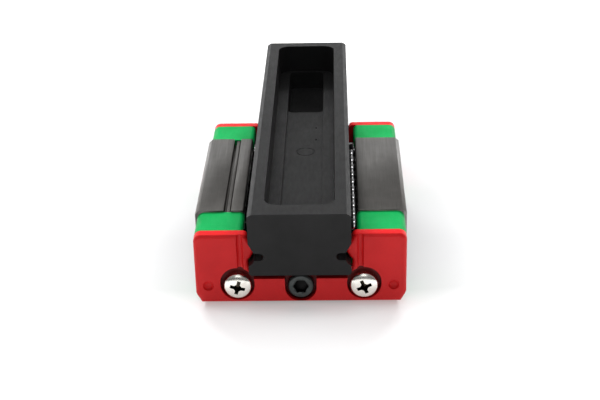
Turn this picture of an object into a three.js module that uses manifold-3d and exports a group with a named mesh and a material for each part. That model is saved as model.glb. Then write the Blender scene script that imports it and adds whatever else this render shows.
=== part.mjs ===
// Compact miniature linear guide carriage, size 15, parked on its black plastic dummy rail.
//
// The carriage lies on its mounting face, as it is packed: the face that a table bolts to is
// z = 0, +Y runs along the rail, and the channel that straddles the rail opens upward.
// The origin is the centre of the mounting face. All lengths are millimetres.

import * as THREE from 'three';
import { mergeVertices } from 'three/addons/utils/BufferGeometryUtils.js';
import Module from 'manifold-3d';

const wasm = await Module();
wasm.setup();

// ---------------------------------------------------------------- driving dimensions

const ASSEMBLY_HEIGHT = 16;       // mounting face to the base of the rail
const BASE_CLEARANCE = 4;         // base of the rail to the near face of the steel block
const BLOCK_WIDTH = 32;
const BLOCK_LENGTH = 26.7;
const CARRIAGE_LENGTH = 42.1;     // over both end seals
const RAIL_WIDTH = 15;
const RAIL_HEIGHT = 10;
const BALL_DIAMETER = 2.778;      // 7/64 inch

const MOUNT_PITCH_X = 25;         // four M3 holes in the mounting face
const MOUNT_PITCH_Y = 20;
const MOUNT_HOLE_RADIUS = 1.5;
const MOUNT_HOLE_DEPTH = 4;

const FACE_GAP = 0.05;            // between flat faces that are pressed together
const SLIDE_GAP = 0.15;           // between the rail and the lips that wipe it

// Ball track, seen along the rail.
const TRACK_X = 8.05;             // loaded balls, half way across the gap beside the rail
const TRACK_Z = 8.9;
const RETURN_X = 12.3;            // return bore through the steel block
const GROOVE_RADIUS = 1.44;
const TUNNEL_RADIUS = 1.5;
const BALL_PITCH = 2.79;
const LOADED_BALLS = 10;          // on each side
const RETURN_BALLS = 13;
const FIRST_BALL_Y = -13.1;

// Steel block.
const CHANNEL_HALF_WIDTH = 8.6;
const CHANNEL_CEILING_Z = 5.4;
const BLOCK_CHAMFER = 0.6;
const DATUM_GROOVE = { x: -11.1, width: 1.1, depth: 0.5 };

// End caps and end seals share one outline.
const CAP_HALF_WIDTH = 15.65;
const CAP_BOTTOM_Z = 0.5;
const CAP_TOP_Z = 11.75;
const CAP_TOP_CHAMFER = 0.9;
const CAP_MOUTH_CHAMFER = 0.7;
const CAP_FOOT = { width: 0.8, height: 1.5 };
const CAP_CHANNEL_HALF_WIDTH = 8.4;
const CAP_CHANNEL_Z = 5.5;
const SEAL_DEPTH = 1.75;
const SEAL_WINDOW_Z = 4.5;
const SEAL_LIP_DEPTH = 0.85;
const SEAL_LIP = {
  topZ: 11.15,
  nose: [[6.8, 9.55], [6.73, 9], [7.25, 8.1]],    // x and z of its corners
  footZ: 7.7,
};

// Fasteners in the end faces.
const CAP_SCREW = { x: 9.4, z: 3.1, shank: 1, hole: 1.3, head: 2.1, headHeight: 1.5, length: 12 };
const CROSS_RECESS = { halfLength: 1.25, halfWidth: 0.25, depth: 0.8 };
const SCREW_RECESS = { halfWidth: 2.55, bottomZ: 0.95, topZ: 6.4, depth: 1.25 };
const PLUG = {
  z: 3, shank: 1.25, hole: 1.5, head: 1.95, headHeight: 1, length: 4.5, socket: 2, socketDepth: 1.1,
};
const PLUG_RECESS_RADIUS = 2.35;
const FACE_FLUTE = { x: 8.85, radius: 0.48 };
const DIMPLE = { x: 13.75, z: 3.35, radius: 0.8, depth: 0.3 };
const OIL_WAY = { z: 4.75, width: 0.6, depth: 0.8 };

// Inside the end caps.
const GUIDE_RADIUS = 1.4;
const GUIDE_HALF_HEIGHT = 1.75;
const GUIDE_CLEARANCE = 0.1;
const WIRE = { x: 6.36, radius: 0.25, legY: 17.7, legEndX: 9.4, hole: 0.5 };

// Dummy rail, base upward, with an open pocket moulded into its base. A shallow well runs along
// the middle of the pocket's floor, and drops to a deeper sump at the rear.
const RAIL_FRONT_Y = -22.7;
const RAIL_REAR_Y = 49.7;
const RAIL_CHAMFER = 0.7;
const RAIL_FLANK = { topZ: 11.2, innerX: 6.65 };   // leans in from the rail's side to the relief
const RELIEF = { innerX: 5.3, z: 9.05, halfHeight: 0.6 };
const POCKET = { frontY: -19.6, rearY: 47.8, halfWidth: 5.2, depth: 5, corner: 2 };
const WELL = { frontY: -18.8, rearY: 47, halfWidth: 3.2, depth: 5.8, corner: 1 };
const SUMP = { frontY: 28.9, rearY: 47, halfWidth: 3.2, depth: 8.2, corner: 1 };

// ---------------------------------------------------------------- derived values

const BLOCK_TOP_Z = ASSEMBLY_HEIGHT - BASE_CLEARANCE;
const BLOCK_END_Y = BLOCK_LENGTH / 2;
const CARRIAGE_END_Y = CARRIAGE_LENGTH / 2;
const SEAL_INNER_Y = CARRIAGE_END_Y - SEAL_DEPTH;
const CAP_INNER_Y = BLOCK_END_Y + FACE_GAP;
const CAP_OUTER_Y = SEAL_INNER_Y - FACE_GAP;
const RAIL_HALF_WIDTH = RAIL_WIDTH / 2;
const RAIL_TOP_Z = ASSEMBLY_HEIGHT;
const RAIL_BOTTOM_Z = ASSEMBLY_HEIGHT - RAIL_HEIGHT;
const SEAL_OPENING = RAIL_HALF_WIDTH + SLIDE_GAP;
const SEAL_SILL_Z = RAIL_BOTTOM_Z - SLIDE_GAP;
const BALL_RADIUS = BALL_DIAMETER / 2;
const TURN_X = (TRACK_X + RETURN_X) / 2;
const TURN_RADIUS = (RETURN_X - TRACK_X) / 2;
const HEAD_SEAT_Y = CARRIAGE_END_Y - SCREW_RECESS.depth;
const OVERCUT = 1;                // how far a cutting tool runs past the face it opens

const ARC_STEPS = 4;
const SIDES = [['left', -1], ['right', 1]];
const ENDS = [['front', -1], ['rear', 1]];

// ---------------------------------------------------------------- materials

function finish(color, roughness, metalness) {
  return new THREE.MeshStandardMaterial({ color, roughness, metalness });
}

const groundSteel = () => finish(0x6b6a68, 0.42, 1);
const bearingSteel = () => finish(0xb9bcc0, 0.12, 1);
const greenPlastic = () => finish(0x27b561, 0.45, 0);
const redPlastic = () => finish(0xc02a30, 0.45, 0);
const whitePlastic = () => finish(0xd9d6cc, 0.5, 0);
const blackPlastic = () => finish(0x2b2b2b, 0.55, 0);
const nickelPlate = () => finish(0xd8d6cf, 0.2, 1);
const blackOxide = () => finish(0x1d1d1f, 0.4, 0.8);

// ---------------------------------------------------------------- solids

function solid(geometry) {
  const bare = geometry.index ? geometry.toNonIndexed() : geometry.clone();
  bare.deleteAttribute('normal');
  bare.deleteAttribute('uv');
  const merged = mergeVertices(bare);
  return new wasm.Manifold(new wasm.Mesh({
    numProp: 3,
    vertProperties: new Float32Array(merged.attributes.position.array),
    triVerts: new Uint32Array(merged.index.array),
  }));
}

function surface(manifold) {
  const mesh = manifold.getMesh();
  const geometry = new THREE.BufferGeometry();
  geometry.setAttribute('position', new THREE.BufferAttribute(mesh.vertProperties, 3));
  geometry.setIndex(new THREE.BufferAttribute(mesh.triVerts, 1));
  const facets = geometry.toNonIndexed();
  facets.computeVertexNormals();
  return facets;
}

function cut(body, tools) {
  return tools.reduce((rest, tool) => rest.subtract(tool), body);
}

function join(pieces) {
  return pieces.reduce((whole, piece) => whole.add(piece));
}

// A shape drawn in x and z, drawn out along the rail from y0 to y1.
function prism(shape, y0, y1, curveSegments = ARC_STEPS) {
  const geometry = new THREE.ExtrudeGeometry(shape, {
    depth: y1 - y0,
    bevelEnabled: false,
    curveSegments,
  });
  geometry.rotateX(Math.PI / 2);
  geometry.translate(0, y1, 0);
  return solid(geometry);
}

// A shape drawn in x and y, raised from z0 to z1.
function slab(shape, z0, z1) {
  const geometry = new THREE.ExtrudeGeometry(shape, {
    depth: z1 - z0,
    bevelEnabled: false,
    curveSegments: ARC_STEPS,
  });
  geometry.translate(0, 0, z0);
  return solid(geometry);
}

function block(x0, x1, y0, y1, z0, z1) {
  const geometry = new THREE.BoxGeometry(x1 - x0, y1 - y0, z1 - z0);
  geometry.translate((x0 + x1) / 2, (y0 + y1) / 2, (z0 + z1) / 2);
  return solid(geometry);
}

function rodY(x, z, radius, y0, y1, segments = 16) {
  const geometry = new THREE.CylinderGeometry(radius, radius, y1 - y0, segments);
  geometry.translate(x, (y0 + y1) / 2, z);
  return solid(geometry);
}

function rodX(y, z, radius, x0, x1, segments = 8) {
  const geometry = new THREE.CylinderGeometry(radius, radius, x1 - x0, segments);
  geometry.rotateZ(Math.PI / 2);
  geometry.translate((x0 + x1) / 2, y, z);
  return solid(geometry);
}

function rodZ(x, y, radius, z0, z1, segments = 16) {
  const geometry = new THREE.CylinderGeometry(radius, radius, z1 - z0, segments);
  geometry.rotateX(Math.PI / 2);
  geometry.translate(x, y, (z0 + z1) / 2);
  return solid(geometry);
}

function rodBetween(start, end, radius) {
  const along = end.clone().sub(start);
  const geometry = new THREE.CylinderGeometry(radius, radius, along.length(), 6);
  const turn = new THREE.Quaternion().setFromUnitVectors(
    new THREE.Vector3(0, 1, 0), along.clone().normalize());
  geometry.applyQuaternion(turn);
  geometry.translate(...start.clone().add(end).multiplyScalar(0.5).toArray());
  return solid(geometry);
}

function ball(centre) {
  const geometry = new THREE.SphereGeometry(BALL_RADIUS, 8, 6);
  geometry.translate(...centre.toArray());
  return solid(geometry);
}

// The same solid at the other end of the carriage.
function atEnd(manifold, end) {
  return end > 0 ? manifold : manifold.mirror([0, 1, 0]);
}

// ---------------------------------------------------------------- outlines

// Half the angle of a circle on the ball track's centre that lies beyond a wall at distance x.
function trackAngle(wallX, radius) {
  return Math.acos(Math.abs(wallX - TRACK_X) / radius);
}

function blockOutline() {
  const half = BLOCK_WIDTH / 2;
  const c = BLOCK_CHAMFER;
  const mouth = 0.4;
  const reach = trackAngle(CHANNEL_HALF_WIDTH, GROOVE_RADIUS);
  const outline = new THREE.Shape();
  outline.moveTo(c - half, 0);
  outline.lineTo(half - c, 0);
  outline.lineTo(half, c);
  outline.lineTo(half, BLOCK_TOP_Z - c);
  outline.lineTo(half - c, BLOCK_TOP_Z);
  outline.lineTo(CHANNEL_HALF_WIDTH + mouth, BLOCK_TOP_Z);
  outline.lineTo(CHANNEL_HALF_WIDTH, BLOCK_TOP_Z - mouth);
  outline.absarc(TRACK_X, TRACK_Z, GROOVE_RADIUS, reach, -reach, true);
  outline.lineTo(CHANNEL_HALF_WIDTH, CHANNEL_CEILING_Z + mouth);
  outline.lineTo(CHANNEL_HALF_WIDTH - mouth, CHANNEL_CEILING_Z);
  outline.lineTo(mouth - CHANNEL_HALF_WIDTH, CHANNEL_CEILING_Z);
  outline.lineTo(-CHANNEL_HALF_WIDTH, CHANNEL_CEILING_Z + mouth);
  outline.absarc(-TRACK_X, TRACK_Z, GROOVE_RADIUS, Math.PI + reach, Math.PI - reach, true);
  outline.lineTo(-CHANNEL_HALF_WIDTH, BLOCK_TOP_Z - mouth);
  outline.lineTo(-CHANNEL_HALF_WIDTH - mouth, BLOCK_TOP_Z);
  outline.lineTo(c - half, BLOCK_TOP_Z);
  outline.lineTo(-half, BLOCK_TOP_Z - c);
  outline.lineTo(-half, c);
  outline.closePath();
  for (const [, side] of SIDES) {
    const bore = new THREE.Path();
    bore.absarc(side * RETURN_X, TRACK_Z, TUNNEL_RADIUS, 0, 2 * Math.PI, false);
    outline.holes.push(bore);
  }
  return outline;
}

// The outside of an end cap or end seal, with a channel down to floorZ. The channel's walls
// stand at wallX. With a lip, each wall has a nose that reaches into the rail's groove.
function endOutline(wallX, floorZ, lip = null) {
  const half = CAP_HALF_WIDTH;
  const c = CAP_TOP_CHAMFER;
  const m = CAP_MOUTH_CHAMFER;
  const outline = new THREE.Shape();
  outline.moveTo(CAP_FOOT.width - half, CAP_BOTTOM_Z);
  outline.lineTo(half - CAP_FOOT.width, CAP_BOTTOM_Z);
  outline.lineTo(half, CAP_BOTTOM_Z + CAP_FOOT.height);
  outline.lineTo(half, CAP_TOP_Z - c);
  outline.lineTo(half - c, CAP_TOP_Z);
  outline.lineTo(wallX + m, CAP_TOP_Z);
  outline.lineTo(wallX, CAP_TOP_Z - m);
  const nose = lip ? [[wallX, lip.topZ], ...lip.nose, [wallX, lip.footZ]] : [];
  for (const [x, z] of nose) {
    outline.lineTo(x, z);
  }
  outline.lineTo(wallX, floorZ);
  outline.lineTo(-wallX, floorZ);
  for (const [x, z] of nose.reverse()) {
    outline.lineTo(-x, z);
  }
  outline.lineTo(-wallX, CAP_TOP_Z - m);
  outline.lineTo(-wallX - m, CAP_TOP_Z);
  outline.lineTo(c - half, CAP_TOP_Z);
  outline.lineTo(-half, CAP_TOP_Z - c);
  outline.lineTo(-half, CAP_BOTTOM_Z + CAP_FOOT.height);
  outline.closePath();
  return outline;
}

function railOutline() {
  const half = RAIL_HALF_WIDTH;
  const c = RAIL_CHAMFER;
  const reach = trackAngle(half, GROOVE_RADIUS);
  const notch = Math.asin((TRACK_Z - RELIEF.z + RELIEF.halfHeight) / GROOVE_RADIUS);
  const slotX = RELIEF.innerX + RELIEF.halfHeight;
  const slotTopZ = RELIEF.z + RELIEF.halfHeight;
  const outline = new THREE.Shape();
  outline.moveTo(c / 2 - half, RAIL_BOTTOM_Z);
  outline.lineTo(half - c / 2, RAIL_BOTTOM_Z);
  outline.lineTo(half, RAIL_BOTTOM_Z + c / 2);
  outline.absarc(TRACK_X, TRACK_Z, GROOVE_RADIUS, Math.PI + reach, Math.PI + notch, true);
  outline.absarc(slotX, RELIEF.z, RELIEF.halfHeight, 1.5 * Math.PI, Math.PI / 2, true);
  outline.lineTo(RAIL_FLANK.innerX, slotTopZ);
  outline.lineTo(half, RAIL_FLANK.topZ);
  outline.lineTo(half, RAIL_TOP_Z - c);
  outline.lineTo(half - c, RAIL_TOP_Z);
  outline.lineTo(c - half, RAIL_TOP_Z);
  outline.lineTo(-half, RAIL_TOP_Z - c);
  outline.lineTo(-half, RAIL_FLANK.topZ);
  outline.lineTo(-RAIL_FLANK.innerX, slotTopZ);
  outline.absarc(-slotX, RELIEF.z, RELIEF.halfHeight, Math.PI / 2, -Math.PI / 2, true);
  outline.absarc(-TRACK_X, TRACK_Z, GROOVE_RADIUS, -notch, -reach, true);
  outline.lineTo(-half, RAIL_BOTTOM_Z + c / 2);
  outline.closePath();
  return outline;
}

function roundedBox(x0, x1, y0, y1, r) {
  const outline = new THREE.Shape();
  outline.moveTo(x0 + r, y0);
  outline.absarc(x1 - r, y0 + r, r, -Math.PI / 2, 0, false);
  outline.absarc(x1 - r, y1 - r, r, 0, Math.PI / 2, false);
  outline.absarc(x0 + r, y1 - r, r, Math.PI / 2, Math.PI, false);
  outline.absarc(x0 + r, y0 + r, r, Math.PI, 1.5 * Math.PI, false);
  return outline;
}

// ---------------------------------------------------------------- the ball track

// A point on one side's ball loop, s millimetres on from the front end of the loaded row.
function trackPoint(side, s) {
  const straight = BLOCK_LENGTH;
  const turn = Math.PI * TURN_RADIUS;
  const loop = 2 * (straight + turn);
  const t = ((s % loop) + loop) % loop;
  if (t < straight) {
    return new THREE.Vector3(side * TRACK_X, t - BLOCK_END_Y, TRACK_Z);
  }
  if (t < straight + turn) {
    const a = (t - straight) / TURN_RADIUS;
    const x = TURN_X - TURN_RADIUS * Math.cos(a);
    return new THREE.Vector3(side * x, BLOCK_END_Y + TURN_RADIUS * Math.sin(a), TRACK_Z);
  }
  if (t < 2 * straight + turn) {
    const y = BLOCK_END_Y - (t - straight - turn);
    return new THREE.Vector3(side * RETURN_X, y, TRACK_Z);
  }
  const a = (t - 2 * straight - turn) / TURN_RADIUS;
  const x = TURN_X + TURN_RADIUS * Math.cos(a);
  return new THREE.Vector3(side * x, -BLOCK_END_Y - TURN_RADIUS * Math.sin(a), TRACK_Z);
}

function ballCentre(side, index) {
  return trackPoint(side, FIRST_BALL_Y + BLOCK_END_Y + index * BALL_PITCH);
}

// The turn-round tunnel in an end cap, as a whole ring.
function turnRing(side) {
  const geometry = new THREE.TorusGeometry(TURN_RADIUS, TUNNEL_RADIUS, 12, 20);
  geometry.translate(side * TURN_X, BLOCK_END_Y, TRACK_Z);
  return solid(geometry);
}

// ---------------------------------------------------------------- parts

function runnerBlock() {
  const body = prism(blockOutline(), -BLOCK_END_Y, BLOCK_END_Y);
  const tools = [];
  for (const [, side] of SIDES) {
    for (const [, end] of ENDS) {
      const drill = new THREE.LatheGeometry([
        new THREE.Vector2(0, -OVERCUT),
        new THREE.Vector2(MOUNT_HOLE_RADIUS, -OVERCUT),
        new THREE.Vector2(MOUNT_HOLE_RADIUS, MOUNT_HOLE_DEPTH),
        new THREE.Vector2(0, MOUNT_HOLE_DEPTH + MOUNT_HOLE_RADIUS / 2),
      ], 16);
      drill.rotateX(Math.PI / 2);
      drill.translate(side * MOUNT_PITCH_X / 2, end * MOUNT_PITCH_Y / 2, 0);
      tools.push(solid(drill));
      const tapEndY = HEAD_SEAT_Y - CAP_SCREW.length - 0.8;
      const tap = rodY(side * CAP_SCREW.x, CAP_SCREW.z, CAP_SCREW.hole,
        tapEndY, BLOCK_END_Y + OVERCUT, 12);
      tools.push(atEnd(tap, end));
    }
  }
  tools.push(block(
    DATUM_GROOVE.x - DATUM_GROOVE.width / 2, DATUM_GROOVE.x + DATUM_GROOVE.width / 2,
    -BLOCK_END_Y - OVERCUT, BLOCK_END_Y + OVERCUT,
    BLOCK_TOP_Z - DATUM_GROOVE.depth, BLOCK_TOP_Z + OVERCUT));
  return cut(body, tools);
}

function endCap(end) {
  const body = prism(endOutline(CAP_CHANNEL_HALF_WIDTH, CAP_CHANNEL_Z), CAP_INNER_Y, CAP_OUTER_Y);
  const tools = [];
  for (const [, side] of SIDES) {
    tools.push(turnRing(side));
    const pocket = rodZ(side * TURN_X, BLOCK_END_Y, GUIDE_RADIUS + GUIDE_CLEARANCE,
      TRACK_Z - GUIDE_HALF_HEIGHT - GUIDE_CLEARANCE,
      TRACK_Z + GUIDE_HALF_HEIGHT + GUIDE_CLEARANCE, 20);
    tools.push(pocket);
    tools.push(rodY(side * CAP_SCREW.x, CAP_SCREW.z, CAP_SCREW.hole,
      CAP_INNER_Y - OVERCUT, CAP_OUTER_Y + OVERCUT, 12));
    tools.push(rodX(WIRE.legY, TRACK_Z, WIRE.hole,
      Math.min(side * (WIRE.x - OVERCUT), side * (WIRE.legEndX + WIRE.hole)),
      Math.max(side * (WIRE.x - OVERCUT), side * (WIRE.legEndX + WIRE.hole))));
    tools.push(block(
      side * TURN_X - OIL_WAY.width / 2, side * TURN_X + OIL_WAY.width / 2,
      CAP_INNER_Y - OVERCUT, CAP_INNER_Y + OIL_WAY.depth,
      OIL_WAY.z, TRACK_Z - GUIDE_HALF_HEIGHT));
  }
  tools.push(block(
    -TURN_X - OIL_WAY.width / 2, TURN_X + OIL_WAY.width / 2,
    CAP_INNER_Y - OVERCUT, CAP_INNER_Y + OIL_WAY.depth,
    OIL_WAY.z - OIL_WAY.width / 2, OIL_WAY.z + OIL_WAY.width / 2));
  tools.push(block(
    -OIL_WAY.width / 2, OIL_WAY.width / 2,
    CAP_INNER_Y - OVERCUT, CAP_INNER_Y + OIL_WAY.depth, PLUG.z, OIL_WAY.z));
  tools.push(rodY(0, PLUG.z, PLUG.hole, CAP_INNER_Y + OIL_WAY.depth / 2, CAP_OUTER_Y + OVERCUT));
  return atEnd(cut(body, tools), end);
}

// A hole with flat sides and round ends, standing on end in the seal's face.
function obround(x, halfWidth, bottomZ, topZ) {
  const outline = new THREE.Shape();
  outline.absarc(x, topZ - halfWidth, halfWidth, 0, Math.PI, false);
  outline.absarc(x, bottomZ + halfWidth, halfWidth, Math.PI, 2 * Math.PI, false);
  return outline;
}

function endSeal(end) {
  const outline = endOutline(SEAL_OPENING, SEAL_SILL_Z, SEAL_LIP);
  const body = prism(outline, SEAL_INNER_Y, CARRIAGE_END_Y);
  const faceY = CARRIAGE_END_Y + OVERCUT;
  const tools = [];
  for (const [, side] of SIDES) {
    const recess = obround(side * CAP_SCREW.x, SCREW_RECESS.halfWidth,
      SCREW_RECESS.bottomZ, SCREW_RECESS.topZ);
    tools.push(prism(recess, HEAD_SEAT_Y, faceY, 8));
    tools.push(rodY(side * CAP_SCREW.x, CAP_SCREW.z, CAP_SCREW.hole,
      SEAL_INNER_Y - OVERCUT, faceY, 12));
    tools.push(rodZ(side * FACE_FLUTE.x, CARRIAGE_END_Y, FACE_FLUTE.radius,
      SCREW_RECESS.topZ - SCREW_RECESS.halfWidth, CAP_TOP_Z + OVERCUT, 10));
    tools.push(rodY(side * DIMPLE.x, DIMPLE.z, DIMPLE.radius,
      CARRIAGE_END_Y - DIMPLE.depth, faceY, 12));
  }
  tools.push(block(
    -SEAL_OPENING, SEAL_OPENING, CARRIAGE_END_Y - SEAL_LIP_DEPTH, faceY,
    SEAL_WINDOW_Z, SEAL_SILL_Z + OVERCUT / 2));
  tools.push(prism(
    obround(0, PLUG_RECESS_RADIUS, PLUG.z - PLUG_RECESS_RADIUS, SEAL_SILL_Z + 2 * PLUG_RECESS_RADIUS),
    HEAD_SEAT_Y, faceY, 8));
  tools.push(rodY(0, PLUG.z, PLUG.hole, SEAL_INNER_Y - OVERCUT, faceY));
  return atEnd(cut(body, tools), end);
}

// The inner half of the turn-round: a half spool that the balls roll round.
function returnGuide(side, end) {
  const spool = rodZ(side * TURN_X, BLOCK_END_Y, GUIDE_RADIUS,
    TRACK_Z - GUIDE_HALF_HEIGHT, TRACK_Z + GUIDE_HALF_HEIGHT, 20);
  const behindFace = block(
    side * TURN_X - 2 * GUIDE_RADIUS, side * TURN_X + 2 * GUIDE_RADIUS,
    BLOCK_END_Y - 2 * GUIDE_RADIUS, CAP_INNER_Y,
    TRACK_Z - 2 * GUIDE_HALF_HEIGHT, TRACK_Z + 2 * GUIDE_HALF_HEIGHT);
  return atEnd(cut(spool, [behindFace, turnRing(side)]), end);
}

function capScrew(side, end) {
  const x = side * CAP_SCREW.x;
  const z = CAP_SCREW.z;
  const seat = HEAD_SEAT_Y + FACE_GAP;
  const faceY = seat + CAP_SCREW.headHeight;
  const { halfLength, halfWidth, depth } = CROSS_RECESS;
  const head = rodY(x, z, CAP_SCREW.head, seat, faceY, 20);
  const shank = rodY(x, z, CAP_SCREW.shank, HEAD_SEAT_Y - CAP_SCREW.length, seat + FACE_GAP, 12);
  const bars = [
    block(x - halfLength, x + halfLength, faceY - depth, faceY + OVERCUT,
      z - halfWidth, z + halfWidth),
    block(x - halfWidth, x + halfWidth, faceY - depth, faceY + OVERCUT,
      z - halfLength, z + halfLength),
  ];
  return atEnd(cut(join([head, shank]), bars), end);
}

function lubePlug(end) {
  const seat = HEAD_SEAT_Y + FACE_GAP;
  const faceY = seat + PLUG.headHeight;
  const head = rodY(0, PLUG.z, PLUG.head, seat, faceY, 20);
  const shank = rodY(0, PLUG.z, PLUG.shank, HEAD_SEAT_Y - PLUG.length, seat + FACE_GAP, 12);
  const socket = rodY(0, PLUG.z, PLUG.socket / Math.sqrt(3), faceY - PLUG.socketDepth,
    faceY + OVERCUT, 6);
  return atEnd(cut(join([head, shank]), [socket]), end);
}

// Round wire that keeps the loaded balls in when the carriage is off its rail. It runs in the
// rail's relief slot, and its two ends hook into the end caps.
function retainerWire(side) {
  const x = side * WIRE.x;
  const r = WIRE.radius;
  const legEnd = side * WIRE.legEndX;
  const run = rodY(x, TRACK_Z, r, -WIRE.legY - r, WIRE.legY + r, 8);
  const legs = ENDS.map(([, end]) => rodX(end * WIRE.legY, TRACK_Z, r * 0.98,
    Math.min(x, legEnd), Math.max(x, legEnd), 8));
  return join([run, ...legs]);
}

// The unloaded balls of one side's loop. In the real carriage they are loose; here a thin core
// strings them together, so that they make one solid.
function returnBalls(side) {
  const centres = [];
  for (let i = 0; i < RETURN_BALLS; i += 1) {
    centres.push(ballCentre(side, LOADED_BALLS + i));
  }
  const links = centres.slice(1).map((centre, i) => rodBetween(centres[i], centre, 0.35));
  return join([...centres.map(ball), ...links]);
}

function dummyRail() {
  const body = prism(railOutline(), RAIL_FRONT_Y, RAIL_REAR_Y);
  const hollows = [POCKET, WELL, SUMP].map(({ frontY, rearY, halfWidth, depth, corner }) => slab(
    roundedBox(-halfWidth, halfWidth, frontY, rearY, corner),
    RAIL_TOP_Z - depth, RAIL_TOP_Z + OVERCUT));
  return cut(body, hollows);
}

// ---------------------------------------------------------------- assembly

const assembly = new THREE.Group();
const carriage = new THREE.Group();
assembly.add(carriage);

function place(parent, name, manifold, material) {
  const mesh = new THREE.Mesh(surface(manifold), material);
  mesh.name = name;
  parent.add(mesh);
}

place(carriage, 'runner_block', runnerBlock(), groundSteel());
for (const [endName, end] of ENDS) {
  place(carriage, `end_cap_${endName}`, endCap(end), greenPlastic());
  place(carriage, `end_seal_${endName}`, endSeal(end), redPlastic());
  place(carriage, `lube_plug_${endName}`, lubePlug(end), blackOxide());
  for (const [sideName, side] of SIDES) {
    place(carriage, `cap_screw_${endName}_${sideName}`, capScrew(side, end), nickelPlate());
    place(carriage, `return_guide_${endName}_${sideName}`, returnGuide(side, end), whitePlastic());
  }
}
for (const [sideName, side] of SIDES) {
  place(carriage, `retainer_wire_${sideName}`, retainerWire(side), bearingSteel());
  place(carriage, `return_balls_${sideName}`, returnBalls(side), bearingSteel());
  for (let i = 0; i < LOADED_BALLS; i += 1) {
    const name = `ball_${sideName}_${String(i + 1).padStart(2, '0')}`;
    place(carriage, name, ball(ballCentre(side, i)), bearingSteel());
  }
}
place(assembly, 'dummy_rail', dummyRail(), blackPlastic());

export default assembly;
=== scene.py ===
# Looks of the linear guide carriage on its dummy rail: fine meshes, materials, light and camera.
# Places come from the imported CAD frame. Sizes are in millimetres, and MM turns them into the
# metres that Blender works in. The lights and the size of the floor are in metres.

import math

import bmesh
import bpy
from mathutils import Matrix, Vector


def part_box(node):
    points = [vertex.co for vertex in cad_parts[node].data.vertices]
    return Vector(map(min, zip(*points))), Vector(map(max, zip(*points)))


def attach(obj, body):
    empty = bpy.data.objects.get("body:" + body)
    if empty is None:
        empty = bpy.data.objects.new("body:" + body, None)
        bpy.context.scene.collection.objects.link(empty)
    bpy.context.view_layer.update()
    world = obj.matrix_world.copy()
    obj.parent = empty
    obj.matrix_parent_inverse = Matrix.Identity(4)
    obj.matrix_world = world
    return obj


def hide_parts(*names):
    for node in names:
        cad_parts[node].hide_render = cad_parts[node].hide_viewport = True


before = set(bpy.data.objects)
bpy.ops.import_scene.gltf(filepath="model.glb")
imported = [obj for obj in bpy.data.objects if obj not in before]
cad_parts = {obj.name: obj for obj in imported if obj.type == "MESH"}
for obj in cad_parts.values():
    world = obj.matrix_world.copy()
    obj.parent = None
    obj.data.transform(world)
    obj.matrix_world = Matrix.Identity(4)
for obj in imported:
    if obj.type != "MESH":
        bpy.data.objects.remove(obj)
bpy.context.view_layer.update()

# ---------------------------------------------------------------- sizes

MM = 0.001
SIDES = (("left", -1), ("right", 1))
ENDS = (("front", -1), ("rear", 1))
OVERCUT = 1                             # how far a cutter runs past the face that it opens
FACE_GAP = 0.05                         # between flat faces that are pressed together
WELD = 0.002                            # points closer than this become one


def node_box(node):
    low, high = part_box(node)
    return low / MM, high / MM


block_low, block_high = node_box("runner_block")
cap_low, cap_high = node_box("end_cap_rear")
seal_low, seal_high = node_box("end_seal_rear")
rail_low, rail_high = node_box("dummy_rail")
screw_low, screw_high = node_box("cap_screw_rear_right")
plug_low, plug_high = node_box("lube_plug_rear")
wire_low, wire_high = node_box("retainer_wire_right")

BALL_RADIUS = 2.778 / 2
TRACK = Vector((8.05, 8.9))            # x and z of the loaded balls' row
RETURN_X = 12.3
GROOVE_RADIUS = 1.44
TUNNEL_RADIUS = 1.5
BALL_PITCH = 2.79
FIRST_BALL_Y = -13.1
LOADED_BALLS = 10
RETURN_BALLS = 13
TURN_X = (TRACK.x + RETURN_X) / 2
TURN_RADIUS = (RETURN_X - TRACK.x) / 2

CHANNEL_HALF_WIDTH = 8.6
CHANNEL_CEILING = 5.4
MOUNT_HOLE = {"x": 12.5, "y": 10.0, "root": 1.5, "foot": 1.53, "crest": 1.26, "depth": 4.0,
              "pitch": 0.5, "lead_in": 0.25}
DATUM_GROOVE = {"x": -11.1, "width": 1.1, "depth": 0.35}
GROOVE_SLOTS = ((-0.55, 0.42, 1.2), (0.38, 0.17, 0.8))  # left edge from the middle, width, depth

SCREW = {"x": (screw_low.x + screw_high.x) / 2, "z": (screw_low.z + screw_high.z) / 2,
         "head": (screw_high.x - screw_low.x) / 2, "head_height": 1.5, "dome": 0.7,
         "shank": 1.0, "core": 0.8, "pitch": 0.4, "hole": 1.3, "hole_past_tip": 0.8}
PLUG = {"z": (plug_low.z + plug_high.z) / 2, "head": (plug_high.x - plug_low.x) / 2,
        "head_height": 1.0, "shank": 1.25, "core": 1.05, "pitch": 0.5, "hole": 1.5, "socket": 2.0}
LEAD_IN = 0.3                           # plain length before a thread starts, and after it on a shank
THREAD_SINK = 0.02                      # how far a thread's foot is sunk in its core
THREAD_FORM = ((0, 0.02), (1, 0.44), (1, 0.56), (0, 0.98))  # foot 0 or crest 1, place in the pitch
SCREW_RECESS = {"half_width": 2.55, "bottom": 0.95, "top": 6.4, "depth": 1.25}
CROSS = {"half_length": 1.2, "half_width": 0.27, "depth": 1.3}
SCREW_TURN = {-1: 22, 1: -14}           # degrees each cross is turned, by side times end
SEAT_Y = seal_high.y - SCREW_RECESS["depth"]
CROSS_TOP_Y = SEAT_Y + SCREW["head_height"] - 0.18      # inside the crosses, below the domes
SOCKET_TOP_Y = SEAT_Y + PLUG["head_height"] - 0.12      # inside the sockets, below the head's face
PLUG_RECESS_RADIUS = 2.35
RAIL_GAP = 0.15
SEAL_LIP = {"top": 11.15, "nose": [(6.8, 9.55), (6.73, 9.0), (7.25, 8.1)], "foot": 7.7}
CAP_CHANNEL = {"half_width": 8.4, "ceiling": 5.5}
CAP_FOOT = ((0.8, 0.0), (0.12, 1.25), (0.0, 1.6))       # in from the side, up from the bottom
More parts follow.
